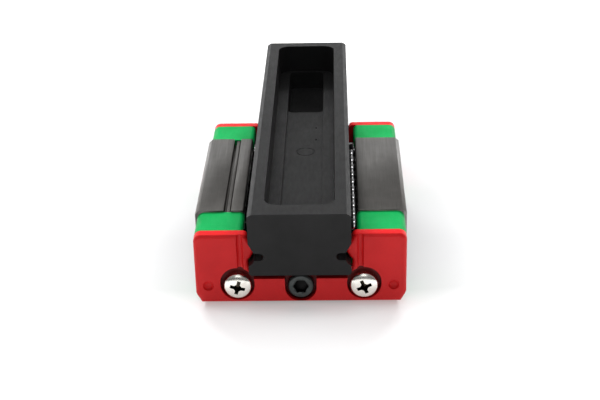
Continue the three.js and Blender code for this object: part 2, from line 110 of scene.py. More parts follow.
CAP_ROUND = {"outer": 1.1, "mouth": 0.8, "ceiling": 0.3}
RIM_ROUND = 0.5                         # outer rim of each end seal's face
SEAL_WINDOW = {"z": 4.5, "depth": 0.85}
FACE_FLUTE = {"x": 8.85, "radius": 0.48}
DIMPLE = {"x": 13.75, "z": 3.35, "radius": 0.8, "depth": 0.55}
OIL_WAY = {"z": 4.75, "width": 0.6, "depth": 0.8}
GUIDE = {"radius": 1.4, "half_height": 1.75, "clearance": 0.1}
WIRE = {"radius": 0.25, "bend": 0.6, "hole": 0.5}
# Painted shade in the end seals' recesses: how far below the face it starts, its greatest share, and
# how far round a screw recess it spreads.
RECESS_SHADE = {"start": 0.1, "most": 0.9, "spread": 0.2}

RAIL_FLANK = {"top": 11.2, "inner": 6.65}
RELIEF = {"inner": 5.3, "z": 9.05, "half_height": 0.6}
POCKET = {"front": -19.6, "rear": 47.8, "half_width": 5.2, "depth": 5.0, "corner": 2.0, "draft": 0.15}
WELL = {"front": -18.8, "rear": 47.0, "half_width": 3.2, "depth": 5.8, "corner": 1.0, "draft": 0.03}
SUMP = {"front": 28.9, "rear": 47.0, "half_width": 3.2, "depth": 8.2, "corner": 1.0, "draft": 0.1}
EJECTOR_MARK = {"x": 0.3, "y": 11.8, "radius": 1.5}
MOULD_PITS = ((2.0, 16.7), (2.0, 21.8))     # x and y of two sink marks in the well

# ---------------------------------------------------------------- mesh helpers


def arc(cx, cy, radius, start, end, steps):
    """Points on a circle from one angle to another, in degrees."""
    points = []
    for i in range(steps + 1):
        a = math.radians(start + (end - start) * i / steps)
        points.append((cx + radius * math.cos(a), cy + radius * math.sin(a)))
    return points


def mirrored(points):
    """An outline's right half, drawn upward from the middle, closed by its mirror image."""
    return points + [(-x, y) for x, y in reversed(points)]


def corner(x, y, radius, start, steps=6):
    """A quarter round whose centre is (x, y), turning left from the start angle."""
    return arc(x, y, radius, start, start + 90, steps)


def link_object(name, data):
    obj = bpy.data.objects.new(name, data)
    bpy.context.scene.collection.objects.link(obj)
    return obj


def new_object(name, bm):
    """An object made of a bmesh, with its faces turned outward."""
    bmesh.ops.recalc_face_normals(bm, faces=bm.faces)
    mesh = bpy.data.meshes.new(name)
    bm.to_mesh(mesh)
    bm.free()
    return link_object(name, mesh)


def fill(bm, rings):
    """Closes an end whose outline is the first ring and whose holes are the others."""
    edges = [bm.edges.new((ring[i - 1], ring[i])) for ring in rings for i in range(len(ring))]
    bmesh.ops.triangle_fill(bm, use_beauty=True, edges=edges)


def band(bm, ring0, ring1):
    """Faces between two rings with the same number of vertices."""
    for i in range(len(ring0)):
        bm.faces.new((ring0[i - 1], ring0[i], ring1[i], ring1[i - 1]))


def dissolve_flats(bm):
    """Makes one face of each flat area that is cut into several."""
    bmesh.ops.dissolve_limit(bm, angle_limit=math.radians(0.5), verts=bm.verts, edges=bm.edges)


def extrude(name, loops, depth0, depth1, place, taper=None):
    """A straight piece between two depths. loops are the outline and any holes; place turns
    (a, b, depth) into x, y, z. taper, if given, holds the loops at the far depth."""
    bm = bmesh.new()
    ends = []
    for end_loops, depth in ((loops, depth0), (taper or loops, depth1)):
        rings = [[bm.verts.new(Vector(place(a, b, depth)) * MM) for a, b in loop]
                 for loop in end_loops]
        fill(bm, rings)
        ends.append(rings)
    for ring0, ring1 in zip(*ends):
        band(bm, ring0, ring1)
    dissolve_flats(bm)
    return new_object(name, bm)


def loft(name, sections, place):
    """A closed skin through (outline, depth) sections whose outlines have the same point count."""
    bm = bmesh.new()
    rings = [[bm.verts.new(Vector(place(a, b, depth)) * MM) for a, b in outline]
             for outline, depth in sections]
    fill(bm, rings[:1])
    fill(bm, rings[-1:])
    for ring0, ring1 in zip(rings, rings[1:]):
        band(bm, ring0, ring1)
    dissolve_flats(bm)
    return new_object(name, bm)


def along_y(a, b, depth):
    return a, depth, b


def along_z(a, b, depth):
    return a, b, depth


def along_x(a, b, depth):
    return depth, a, b


def rod(name, a, b, radius, depth0, depth1, place=along_y, steps=48):
    return extrude(name, [arc(a, b, radius, 0, 360, steps)[:-1]], depth0, depth1, place)


def box(name, low, high):
    outline = [(low[0], low[1]), (high[0], low[1]), (high[0], high[1]), (low[0], high[1])]
    return extrude(name, [outline], low[2], high[2], along_z)


def lathe(name, profile, centre, steps=64, place=along_y):
    """A turned piece. profile lists (radius, depth) from axis to axis; centre is (a, b).
    A place on the axis is one vertex, so the faces that meet there are triangles."""
    bm = bmesh.new()
    rings = []
    for radius, depth in profile:
        if radius == 0:
            rings.append([bm.verts.new(Vector(place(centre[0], centre[1], depth)) * MM)])
            continue
        circle = arc(centre[0], centre[1], radius, 0, 360, steps)[:-1]
        rings.append([bm.verts.new(Vector(place(a, b, depth)) * MM) for a, b in circle])
    for low, high in zip(rings, rings[1:]):
        for i in range(steps):
            j = (i + 1) % steps
            corners = [low[i % len(low)], low[j % len(low)], high[j % len(high)], high[i % len(high)]]
            bm.faces.new(list(dict.fromkeys(corners)))
    return new_object(name, bm)


def torus(name, centre, radius, tube, steps=64, tube_steps=32):
    """A ring that lies level, as the turn-round tunnels do."""
    bm = bmesh.new()
    rings = []
    for i in range(steps):
        a = 2 * math.pi * i / steps
        ring = []
        for r, z in arc(radius, centre[2], tube, 0, 360, tube_steps)[:-1]:
            point = Vector((centre[0] + r * math.cos(a), centre[1] + r * math.sin(a), z))
            ring.append(bm.verts.new(point * MM))
        rings.append(ring)
    for i in range(steps):
        for j in range(tube_steps):
            bm.faces.new((rings[i - 1][j - 1], rings[i][j - 1], rings[i][j], rings[i - 1][j]))
    return new_object(name, bm)


def thread(name, centre, crest, root, depth0, depth1, pitch, place=along_y, steps=24):
    """A helical ridge from its root to its crest, which fades in and out over half a turn."""
    bm = bmesh.new()
    turns = (depth1 - depth0) / pitch - 1
    count = int(turns * steps)
    sections = []
    for i in range(count + 1):
        a = 2 * math.pi * i / steps
        depth = depth0 + pitch * i / steps
        fade = min(1, 2 * i / steps, 2 * (count - i) / steps)
        section = []
        for height, offset in THREAD_FORM:
            radius = root + (crest - root) * fade * height
            x = centre[0] + radius * math.cos(a)
            z = centre[1] + radius * math.sin(a)
            section.append(bm.verts.new(Vector(place(x, z, depth + offset * pitch)) * MM))
        sections.append(section)
    for section0, section1 in zip(sections, sections[1:]):
        band(bm, section0, section1)
    bm.faces.new(sections[0])
    bm.faces.new(sections[-1])
    return new_object(name, bm)


def delete(*objects):
    for obj in objects:
        mesh = obj.data
        bpy.data.objects.remove(obj)
        bpy.data.meshes.remove(mesh)


def bake_modifiers(obj):
    """Replaces the object's mesh by the one its modifiers make."""
    graph = bpy.context.evaluated_depsgraph_get()
    made = bpy.data.meshes.new_from_object(obj.evaluated_get(graph))
    old = obj.data
    obj.modifiers.clear()
    obj.data = made
    bpy.data.meshes.remove(old)


def carve(obj, tools):
    """Cuts each tool out of the object, and deletes the tools."""
    for tool in tools:
        cut = obj.modifiers.new("cut", "BOOLEAN")
        cut.operation = "DIFFERENCE"
        cut.solver = "EXACT"
        cut.object = tool
        bake_modifiers(obj)
    delete(*tools)
    bm = bmesh.new()
    bm.from_mesh(obj.data)
    bmesh.ops.remove_doubles(bm, verts=bm.verts, dist=WELD * MM)
    dissolve_flats(bm)
    bm.to_mesh(obj.data)
    bm.free()


def soften(obj, width, segments=2, sharp=30):
    """Rounds every edge that turns by more than sharp degrees, and smooths the shading."""
    bevel = obj.modifiers.new("edges", "BEVEL")
    bevel.width = width * MM
    bevel.segments = segments
    bevel.limit_method = "ANGLE"
    bevel.angle_limit = math.radians(sharp)
    bevel.use_clamp_overlap = True
    bevel.harden_normals = True
    bevel.miter_outer = "MITER_ARC"
    smooth(obj)


def smooth(obj, sharp=30):
    """Shades a piece as curved, except across edges that turn by sharp degrees or more."""
    bm = bmesh.new()
    bm.from_mesh(obj.data)
    for face in bm.faces:
        face.smooth = True
    for edge in bm.edges:
        edge.smooth = edge.is_manifold and edge.calc_face_angle(0) < math.radians(sharp)
    bm.to_mesh(obj.data)
    bm.free()


def merge_shells(name, *objects):
    """Joins finished shells into one object, and keeps each as its own shell."""
    bm = bmesh.new()
    for obj in objects:
        bm.from_mesh(obj.data)
    delete(*objects)
    mesh = bpy.data.meshes.new(name)
    bm.to_mesh(mesh)
    bm.free()
    obj = link_object(name, mesh)
    smooth(obj)
    return obj


def at_end(obj, end):
    """Turns a piece that was made at the rear end into its mirror image at the front."""
    if end < 0:
        obj.data.transform(Matrix.Diagonal((1, -1, 1, 1)))
        obj.data.flip_normals()
    return obj


# ---------------------------------------------------------------- material helpers


def add_node(tree, kind, inputs=None, **settings):
    node = tree.nodes.new(kind)
    for key, value in settings.items():
        setattr(node, key, value)
    for key, value in (inputs or {}).items():
        if isinstance(value, bpy.types.NodeSocket):
            tree.links.new(value, node.inputs[key])
        else:
            node.inputs[key].default_value = value
    return node


def new_material(name, **shader):
    """A material with a Principled shader whose constant inputs are set by name."""
    material = bpy.data.materials.new(name)
    material.use_nodes = True
    tree = material.node_tree
    tree.nodes.clear()
    output = tree.nodes.new("ShaderNodeOutputMaterial")
    principled = add_node(tree, "ShaderNodeBsdfPrincipled", shader)
    tree.links.new(principled.outputs[0], output.inputs[0])
    return material, tree, principled


def object_position(tree, scale):
    """Position on the object in millimetres, stretched by scale."""
    where = add_node(tree, "ShaderNodeTexCoord").outputs["Object"]
    stretch = tuple(s / MM for s in scale)
    return add_node(tree, "ShaderNodeMapping", {"Vector": where, "Scale": stretch}).outputs[0]


def noise(tree, scale, detail=3.0, roughness=0.5, stretch=(1, 1, 1)):
    """Noise whose features are about 1 / scale millimetres wide."""
    where = object_position(tree, [scale * s for s in stretch])
    inputs = {"Vector": where, "Scale": 1.0, "Detail": detail, "Roughness": roughness}
    return add_node(tree, "ShaderNodeTexNoise", inputs).outputs["Fac"]


def ramp(tree, value, stops):
    """Turns a value into a colour. stops are (position, colour), with grey as one number."""
    node = add_node(tree, "ShaderNodeValToRGB", {"Fac": value})
    elements = node.color_ramp.elements
    while len(elements) < len(stops):
        elements.new(0.5)
    for element, (position, colour) in zip(elements, stops):
        grey = isinstance(colour, (int, float))
        element.position = position
        element.color = (colour, colour, colour, 1) if grey else (*colour, 1)
    return node.outputs["Color"]


def mix(tree, kind, factor, a, b):
    node = add_node(tree, "ShaderNodeMix", data_type="RGBA", blend_type=kind)
    for index, value in ((0, factor), (6, a), (7, b)):
        if isinstance(value, bpy.types.NodeSocket):
            tree.links.new(value, node.inputs[index])
        else:
            node.inputs[index].default_value = value if index == 0 else (*value, 1)
    return node.outputs[2]


def bump(tree, principled, heights, distance):
    """Adds fine relief. heights are (value, strength); distance is its depth in millimetres."""
    normal = None
    for value, strength in heights:
        inputs = {"Height": value, "Strength": strength, "Distance": distance * MM}
        if normal is not None:
            inputs["Normal"] = normal
        normal = add_node(tree, "ShaderNodeBump", inputs).outputs["Normal"]
    tree.links.new(normal, principled.inputs["Normal"])


def math_node(tree, operation, a, b=0.0):
    return add_node(tree, "ShaderNodeMath", {0: a, 1: b}, operation=operation).outputs[0]


def position_sizes(tree):
    """The sizes of x, y and z on the object, in millimetres and without their signs."""
    where = object_position(tree, (1, 1, 1))
    axes = add_node(tree, "ShaderNodeSeparateXYZ", {"Vector": where}).outputs
    return [math_node(tree, "ABSOLUTE", axis) for axis in axes]


def near_axis(tree, x, z, centre, radius):
    """1 within a radius of an axis that runs along y, and 0 elsewhere."""
    across = math_node(tree, "SUBTRACT", x, centre[0])
    up = math_node(tree, "SUBTRACT", z, centre[1])
    squares = math_node(tree, "ADD", math_node(tree, "MULTIPLY", across, across),
                        math_node(tree, "MULTIPLY", up, up))
    return math_node(tree, "LESS_THAN", squares, radius ** 2)


def in_drive(tree, centre, radius, top_y):
    """1 inside a screw's drive recess, where painted shade goes, and 0 on its head."""
    x, y, z = position_sizes(tree)
    sunk = math_node(tree, "LESS_THAN", y, top_y)
    return math_node(tree, "MULTIPLY", near_axis(tree, x, z, centre, radius), sunk)


# ---------------------------------------------------------------- materials


def painted_recess_shade(tree):
    """Painted shade that darkens the end seals' screw recesses, and the plug recess and window under
    the rail, toward their floors.
    """
    x, y, z = position_sizes(tree)
    depth = math_node(tree, "SUBTRACT", seal_high.y - RECESS_SHADE["start"], y)
    painted_shade = math_node(tree, "MINIMUM", math_node(tree, "MAXIMUM", depth, 0.0), RECESS_SHADE["most"])
    middle = (SCREW["x"], (SCREW_RECESS["bottom"] + SCREW_RECESS["top"]) / 2)
    screws = near_axis(tree, x, z, middle, SCREW_RECESS["half_width"] + RECESS_SHADE["spread"])
    bridge = math_node(tree, "MULTIPLY", math_node(tree, "LESS_THAN", x, rail_high.x),
                       math_node(tree, "LESS_THAN", z, SCREW_RECESS["top"]))
    return math_node(tree, "MULTIPLY", painted_shade, math_node(tree, "MAXIMUM", screws, bridge))


def moulded_plastic(name, dark, light, roughness, specular=0.22, painted_shade=None):
    """Satin moulded plastic: slow drift in the colour, fine grain, and a few handling marks.
    The last argument, if given, returns how much painted shade darkens the surface, from 0 to 1."""
    material, tree, shader = new_material(name, **{"Specular IOR Level": specular})
    drift = noise(tree, 0.22, detail=4)
    grain = noise(tree, 9, detail=4, roughness=0.6)
    marks = noise(tree, 1.6, detail=5, roughness=0.7, stretch=(1, 0.25, 1.6))
    colour = ramp(tree, drift, [(0.3, dark), (0.7, light)])
    speck = ramp(tree, grain, [(0.35, 0.86), (0.7, 1.0)])
    colour = mix(tree, "MULTIPLY", 0.5, colour, speck)
    if painted_shade:
        # Painted shade: multiplies the colour toward a dark brown where the shade mask is high.
        colour = mix(tree, "MULTIPLY", painted_shade(tree), colour, (0.12, 0.10, 0.08))
    tree.links.new(colour, shader.inputs["Base Color"])
    gloss = ramp(tree, marks, [(0.3, roughness - 0.08), (0.75, roughness + 0.1)])
    tree.links.new(gloss, shader.inputs["Roughness"])
    bump(tree, shader, [(grain, 0.35), (marks, 0.12)], 0.02)
    return material


def ground_steel(name):
    """Steel ground along its length: fine parallel lines, a cloudy oil film outside, and a
    colour that is darker inside the channel."""
    material, tree, shader = new_material(name, Metallic=1.0)
    lines = noise(tree, 10, detail=5, roughness=0.7, stretch=(1, 0.02, 1))
    coarse = noise(tree, 3, detail=3, roughness=0.6, stretch=(1, 0.03, 1))
    cloud = noise(tree, 0.35, detail=5, roughness=0.6)
    base = ramp(tree, cloud, [(0.3, (0.208, 0.201, 0.191)), (0.72, (0.252, 0.243, 0.231))])
    streak = ramp(tree, lines, [(0.3, 0.78), (0.7, 1.0)])
    colour = mix(tree, "MULTIPLY", 0.8, base, streak)
    x, _, z = position_sizes(tree)
    channel = math_node(tree, "LESS_THAN", x, CHANNEL_HALF_WIDTH + 0.03)
    below = math_node(tree, "LESS_THAN", z, block_high.z - 0.1)
    above = math_node(tree, "GREATER_THAN", z, CHANNEL_CEILING - 0.2)
    in_channel = math_node(tree, "MULTIPLY", channel, math_node(tree, "MULTIPLY", below, above))
    # The colour is about a third as bright inside the channel.
    colour = mix(tree, "MULTIPLY", in_channel, colour, (0.35, 0.34, 0.32))
    tree.links.new(colour, shader.inputs["Base Color"])
    gloss = ramp(tree, coarse, [(0.3, 0.36), (0.7, 0.5)])
    tree.links.new(gloss, shader.inputs["Roughness"])
    bump(tree, shader, [(lines, 0.3), (coarse, 0.12)], 0.01)
    return material


def plated_steel(name):
    """Bright nickel plate: nearly white, with fine turning marks and slight waviness."""
    material, tree, shader = new_material(name, Metallic=1.0)
    wave = noise(tree, 1.2, detail=3)
    scratch = noise(tree, 12, detail=4, roughness=0.7, stretch=(1, 1, 0.15))
    plate = ramp(tree, wave, [(0.3, (0.82, 0.79, 0.72)), (0.7, (0.94, 0.92, 0.86))])
    painted_drive_shade = in_drive(tree, (SCREW["x"], SCREW["z"]), 1.5, CROSS_TOP_Y)
    # Painted shade: the cross recess is darkened nearly to black.
    colour = mix(tree, "MULTIPLY", painted_drive_shade, plate, (0.07, 0.06, 0.05))
    tree.links.new(colour, shader.inputs["Base Color"])
    gloss = ramp(tree, scratch, [(0.3, 0.14), (0.75, 0.3)])
    tree.links.new(gloss, shader.inputs["Roughness"])
    bump(tree, shader, [(scratch, 0.15), (wave, 0.2)], 0.01)
    return material


def black_oxide(name):
    """Blackened screw steel with an oily sheen."""
    material, tree, shader = new_material(name, Metallic=0.85)
    cloud = noise(tree, 1.0, detail=4)
    grain = noise(tree, 14, detail=4, roughness=0.7)
    head = ramp(tree, cloud, [(0.3, (0.044, 0.050, 0.049)), (0.75, (0.075, 0.083, 0.081))])
    painted_drive_shade = in_drive(tree, (0, PLUG["z"]), 1.25, SOCKET_TOP_Y)
    # Painted shade: the hex socket is darkened nearly to black.
    colour = mix(tree, "MULTIPLY", painted_drive_shade, head, (0.10, 0.09, 0.09))
    tree.links.new(colour, shader.inputs["Base Color"])
    gloss = ramp(tree, grain, [(0.3, 0.26), (0.75, 0.46)])
    tree.links.new(gloss, shader.inputs["Roughness"])
    bump(tree, shader, [(grain, 0.2)], 0.01)
    return material


def polished_steel(name):
    """Lapped bearing balls under a thin film of grease."""
    material, tree, shader = new_material(name, Metallic=1.0)
    film = noise(tree, 1.1, detail=4)
    colour = ramp(tree, film, [(0.35, (0.44, 0.44, 0.45)), (0.7, (0.60, 0.60, 0.61))])
    tree.links.new(colour, shader.inputs["Base Color"])
    gloss = ramp(tree, film, [(0.35, 0.05), (0.75, 0.12)])
    tree.links.new(gloss, shader.inputs["Roughness"])
    return material


def drawn_wire(name):
    """Spring wire with the draw lines along it."""
    material, tree, shader = new_material(name, Metallic=1.0)
    lines = noise(tree, 16, detail=4, roughness=0.6, stretch=(1, 0.04, 1))
    colour = ramp(tree, lines, [(0.3, (0.34, 0.34, 0.35)), (0.7, (0.55, 0.55, 0.56))])
    tree.links.new(colour, shader.inputs["Base Color"])
    gloss = ramp(tree, lines, [(0.3, 0.2), (0.7, 0.36)])
    tree.links.new(gloss, shader.inputs["Roughness"])
    bump(tree, shader, [(lines, 0.25)], 0.01)
    return material


materials = {
    "ground_steel": ground_steel("ground_steel_look"),
    # The red seals carry painted shade in their recesses and under the rail.
    "red_plastic": moulded_plastic(
        "red_plastic_look", (0.575, 0.006, 0.008), (0.66, 0.010, 0.012), 0.42, 0.22, painted_recess_shade),
    "green_plastic": moulded_plastic(
        "green_plastic_look", (0.002, 0.250, 0.055), (0.004, 0.311, 0.077), 0.46, 0.09),
    "black_plastic": moulded_plastic(
        "black_plastic_look", (0.0105, 0.0105, 0.0108), (0.0160, 0.0160, 0.0163), 0.4, 0.16),
    "white_plastic": moulded_plastic(
        "white_plastic_look", (0.66, 0.64, 0.58), (0.76, 0.74, 0.69), 0.45),
    "nickel_plate": plated_steel("nickel_plate_look"),
    "black_oxide": black_oxide("black_oxide_look"),
    "bearing_steel": polished_steel("bearing_steel_look"),
    "spring_wire": drawn_wire("spring_wire_look"),
}


def finish_piece(obj, body, slot, *nodes):
    """Gives a piece its material, and puts it in the place of its CAD nodes."""
    obj.data.materials.clear()
    obj.data.materials.append(materials[slot])
    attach(obj, body)
    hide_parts(*nodes)
    return obj


# ---------------------------------------------------------------- the ball track


def track_point(side, s):
    """A point on one side's ball loop, s millimetres on from the front of the loaded row."""
    straight = block_high.y - block_low.y
    turn = math.pi * TURN_RADIUS
    t = s % (2 * (straight + turn))
    if t < straight:
        return Vector((side * TRACK.x, block_low.y + t, TRACK.y))
    if t < straight + turn:
        a = (t - straight) / TURN_RADIUS
        x = TURN_X - TURN_RADIUS * math.cos(a)
        return Vector((side * x, block_high.y + TURN_RADIUS * math.sin(a), TRACK.y))
    if t < 2 * straight + turn:
        return Vector((side * RETURN_X, block_high.y - (t - straight - turn), TRACK.y))
    a = (t - 2 * straight - turn) / TURN_RADIUS
    x = TURN_X + TURN_RADIUS * math.cos(a)
    return Vector((side * x, block_low.y - TURN_RADIUS * math.sin(a), TRACK.y))


def ball_centre(side, index):
    return track_point(side, FIRST_BALL_Y - block_low.y + index * BALL_PITCH)


def sphere(name, centre, radius, level):
    bm = bmesh.new()
    bmesh.ops.create_icosphere(
        bm, subdivisions=level, radius=radius * MM, matrix=Matrix.Translation(centre * MM))
    obj = new_object(name, bm)
    smooth(obj, 60)
    return obj


def track_angle(wall_x, radius):
    """How far round the ball track's centre a circle meets a wall, in degrees."""
    return math.degrees(math.acos(abs(wall_x - TRACK.x) / radius))


# ---------------------------------------------------------------- carriage


def runner_block():
    half = block_high.x
    top = block_high.z
    chamfer = 0.6
    mouth = 0.15
    reach = track_angle(CHANNEL_HALF_WIDTH, GROOVE_RADIUS)
    right = [(half - chamfer, 0), (half, chamfer), (half, top - chamfer), (half - chamfer, top)]
    right += [(CHANNEL_HALF_WIDTH + mouth, top), (CHANNEL_HALF_WIDTH, top - mouth)]
    right += arc(TRACK.x, TRACK.y, GROOVE_RADIUS, reach, -reach, 24)
    right += [(CHANNEL_HALF_WIDTH, CHANNEL_CEILING + mouth),
              (CHANNEL_HALF_WIDTH - mouth, CHANNEL_CEILING)]
    outline = mirrored(right)
    bores = [arc(side * RETURN_X, TRACK.y, TUNNEL_RADIUS, 0, 360, 40)[:-1] for _, side in SIDES]
    body = extrude("fine_runner_block", [outline] + bores, block_low.y, block_high.y, along_y)
    tools = []
    strip = (-DATUM_GROOVE["width"] / 2, DATUM_GROOVE["width"], DATUM_GROOVE["depth"])
    for offset, width, depth in (strip, *GROOVE_SLOTS):
        left = DATUM_GROOVE["x"] + offset
        tools.append(box("groove", (left, block_low.y - OVERCUT, top - depth),
                         (left + width, block_high.y + OVERCUT, top + OVERCUT)))
    root, depth, lead_in = MOUNT_HOLE["root"], MOUNT_HOLE["depth"], MOUNT_HOLE["lead_in"]
    drilled = [(0, -OVERCUT), (root + lead_in + OVERCUT, -OVERCUT), (root, lead_in),
               (root, depth), (0, depth + root / 2)]
    ridges = []
    for _, side in SIDES:
        for _, end in ENDS:
            centre = (side * MOUNT_HOLE["x"], end * MOUNT_HOLE["y"])
            tools.append(lathe("drill", drilled, centre, 48, along_z))
            ridges.append(thread("ridge", centre, MOUNT_HOLE["crest"], MOUNT_HOLE["foot"],
                                 LEAD_IN, depth, MOUNT_HOLE["pitch"], along_z, 36))
            tap = rod("tap", side * SCREW["x"], SCREW["z"], SCREW["hole"],
                      screw_low.y - SCREW["hole_past_tip"], block_high.y + OVERCUT)
            tools.append(at_end(tap, end))
    carve(body, tools)
    soften(body, 0.12)
    bake_modifiers(body)
    return merge_shells("fine_runner_block", body, *ridges)


def end_outline(wall_x, floor, lip=None, inset=0):
    """An end piece's outline. inset draws every side in, for a face with a round rim."""
    half, top, bottom, wall = cap_high.x, cap_high.z, cap_low.z + inset, wall_x + inset
    outer, mouth, ceiling = CAP_ROUND["outer"], CAP_ROUND["mouth"], CAP_ROUND["ceiling"]
    right = [(half - inset - x, bottom + z) for x, z in CAP_FOOT]
    right += corner(half - outer, top - outer, outer - inset, 0)
    right += arc(wall_x + mouth, top - mouth, mouth - inset, 90, 180, 6)
    if lip:
        right.append((wall, lip["top"] - inset / 2))
        right += [(x + inset, z) for x, z in lip["nose"]]
        right.append((wall, lip["foot"]))
    right += [(wall, floor + ceiling), (wall - ceiling, floor)]
    return mirrored(right)


def end_cap(end):
    inner, outer = cap_low.y, cap_high.y
    outline = end_outline(CAP_CHANNEL["half_width"], CAP_CHANNEL["ceiling"])
    body = extrude("cap", [outline], inner, outer, along_y)
    oil_half, oil_z, oil_y = OIL_WAY["width"] / 2, OIL_WAY["z"], inner + OIL_WAY["depth"]
    tools = []
    for _, side in SIDES:
        turn = (side * TURN_X, block_high.y, TRACK.y)
        tools.append(torus("turn", turn, TURN_RADIUS, TUNNEL_RADIUS))
        reach = GUIDE["half_height"] + GUIDE["clearance"]
        tools.append(rod("pocket", turn[0], turn[1], GUIDE["radius"] + GUIDE["clearance"],
                         TRACK.y - reach, TRACK.y + reach, along_z))
        tools.append(rod("bore", side * SCREW["x"], SCREW["z"], SCREW["hole"],
                         inner - OVERCUT, outer + OVERCUT))
        tools.append(rod("anchor", wire_high.y - WIRE["radius"], TRACK.y, WIRE["hole"],
                         side * (TRACK.x - OVERCUT), side * (wire_high.x + WIRE["hole"]),
                         along_x, 24))
        tools.append(box("oil", (turn[0] - oil_half, inner - OVERCUT, oil_z),
                         (turn[0] + oil_half, oil_y, TRACK.y - GUIDE["half_height"])))
    tools.append(box("oil", (-TURN_X - oil_half, inner - OVERCUT, oil_z - oil_half),
                     (TURN_X + oil_half, oil_y, oil_z + oil_half)))
    tools.append(box("oil", (-oil_half, inner - OVERCUT, PLUG["z"]), (oil_half, oil_y, oil_z)))
    tools.append(rod("port", 0, PLUG["z"], PLUG["hole"],
                     inner + OIL_WAY["depth"] / 2, outer + OVERCUT))
    carve(body, tools)
    soften(body, 0.1)
    return at_end(body, end)


def obround(x, half_width, bottom, top, steps=24):
    """An outline with straight sides and round ends, standing on end."""
    return (arc(x, top - half_width, half_width, 0, 180, steps)
            + arc(x, bottom + half_width, half_width, 180, 360, steps))


def end_seal(end):
    inner, outer = seal_low.y, seal_high.y
    wall = rail_high.x + RAIL_GAP
    sill = rail_low.z - RAIL_GAP
    sections = [(end_outline(wall, sill, SEAL_LIP), inner)]
    for inset, depth in arc(RIM_ROUND, outer - RIM_ROUND, RIM_ROUND, 180, 90, 6):
        sections.append((end_outline(wall, sill, SEAL_LIP, inset), depth))
    body = loft("seal", sections, along_y)
    face = outer + OVERCUT
    tools = []
    for _, side in SIDES:
        x = side * SCREW["x"]
        hole = obround(x, SCREW_RECESS["half_width"], SCREW_RECESS["bottom"], SCREW_RECESS["top"])
        tools.append(extrude("recess", [hole], SEAT_Y, face, along_y))
        tools.append(rod("bore", x, SCREW["z"], SCREW["hole"], inner - OVERCUT, face))
        tools.append(rod("flute", side * FACE_FLUTE["x"], outer, FACE_FLUTE["radius"],
                         SCREW_RECESS["top"] - OVERCUT, cap_high.z + OVERCUT, along_z, 24))
        radius, depth = DIMPLE["radius"], DIMPLE["depth"]
        dish = [(radius * math.sin(math.radians(a)), outer - depth * math.cos(math.radians(a)))
                for a in range(0, 91, 15)]
        dish += [(radius, face), (0, face)]
        tools.append(lathe("dimple", dish, (side * DIMPLE["x"], DIMPLE["z"]), 32))
    tools.append(box("window", (-wall, outer - SEAL_WINDOW["depth"], SEAL_WINDOW["z"]),
                     (wall, face, sill + OVERCUT / 2)))
    hole = obround(0, PLUG_RECESS_RADIUS, PLUG["z"] - PLUG_RECESS_RADIUS,
                   sill + 2 * PLUG_RECESS_RADIUS)
    tools.append(extrude("recess", [hole], SEAT_Y, face, along_y))
    tools.append(rod("port", 0, PLUG["z"], PLUG["hole"], inner - OVERCUT, face))
    carve(body, tools)
    soften(body, 0.1)
    return at_end(body, end)


def return_guide(side, end):
    """Half a spool with a round groove, which forms the inside of a turn-round tunnel."""
    x, y, z = side * TURN_X, block_high.y, TRACK.y
    reach = GUIDE["half_height"]
    spool = rod("spool", x, y, GUIDE["radius"], z - reach, z + reach, along_z, 64)
    around = 2 * GUIDE["radius"]
    behind = box("behind", (x - around, y - around, z - around), (x + around, cap_low.y, z + around))
    carve(spool, [behind, torus("turn", (x, y, z), TURN_RADIUS, TUNNEL_RADIUS)])
    soften(spool, 0.05)
    return at_end(spool, end)


def cross_recess(centre, face, half_length, half_width, depth, turn):
    """A cutter for a cross recess: a turned plus sign that narrows toward a point. The inner
    corners are cut away, so its middle is wide."""
    spin = Matrix.Rotation(math.radians(turn), 2)
    inner_cut, floor_scale, top_scale = 0.28, 0.45, 1.12

    def plus(scale):
        a, b = half_length * scale, half_width * (0.5 + 0.5 * scale)
        c = b + inner_cut * scale
        quarter = [(a, b), (c, b), (b, c), (b, a)]
        corners = []
        for i in range(4):
            corners += [Matrix.Rotation(math.pi / 2 * i, 2) @ Vector(point) for point in quarter]
        return [tuple(Vector(centre) + spin @ point) for point in corners]

    return extrude("cross", [plus(floor_scale)], face - depth, face + 0.3, along_y,
                   taper=[plus(top_scale)])


def shank_profile(kind, tip, seat):
    """A screw's or plug's shank from its tip to its head's seat, without the thread."""
    core = kind["core"]
    return [(0, tip), (core - 0.25, tip), (core, tip + LEAD_IN), (core, seat - 0.2),
            (kind["shank"], seat)]


def shank_thread(kind, centre, tip, seat):
    return thread("ridge", centre, kind["shank"], kind["core"] - THREAD_SINK,
                  tip + LEAD_IN, seat - LEAD_IN, kind["pitch"])


def cap_screw(side, end):
    centre = (side * SCREW["x"], SCREW["z"])
    seat = SEAT_Y + FACE_GAP
    face = seat + SCREW["head_height"]
    head, tip, rise = SCREW["head"], screw_low.y, SCREW["dome"]
    dome = [(head * math.cos(math.radians(a)), face - rise + rise * math.sin(math.radians(a)))
            for a in range(6, 86, 5)]
    profile = shank_profile(SCREW, tip, seat)
    profile += [(head - 0.08, seat), (head, seat + 0.1), *dome, (0, face)]
    screw = lathe("screw", profile, centre)
    carve(screw, [cross_recess(centre, face, CROSS["half_length"], CROSS["half_width"],
                               CROSS["depth"], SCREW_TURN[side * end])])
    return at_end(merge_shells("screw", screw, shank_thread(SCREW, centre, tip, seat)), end)


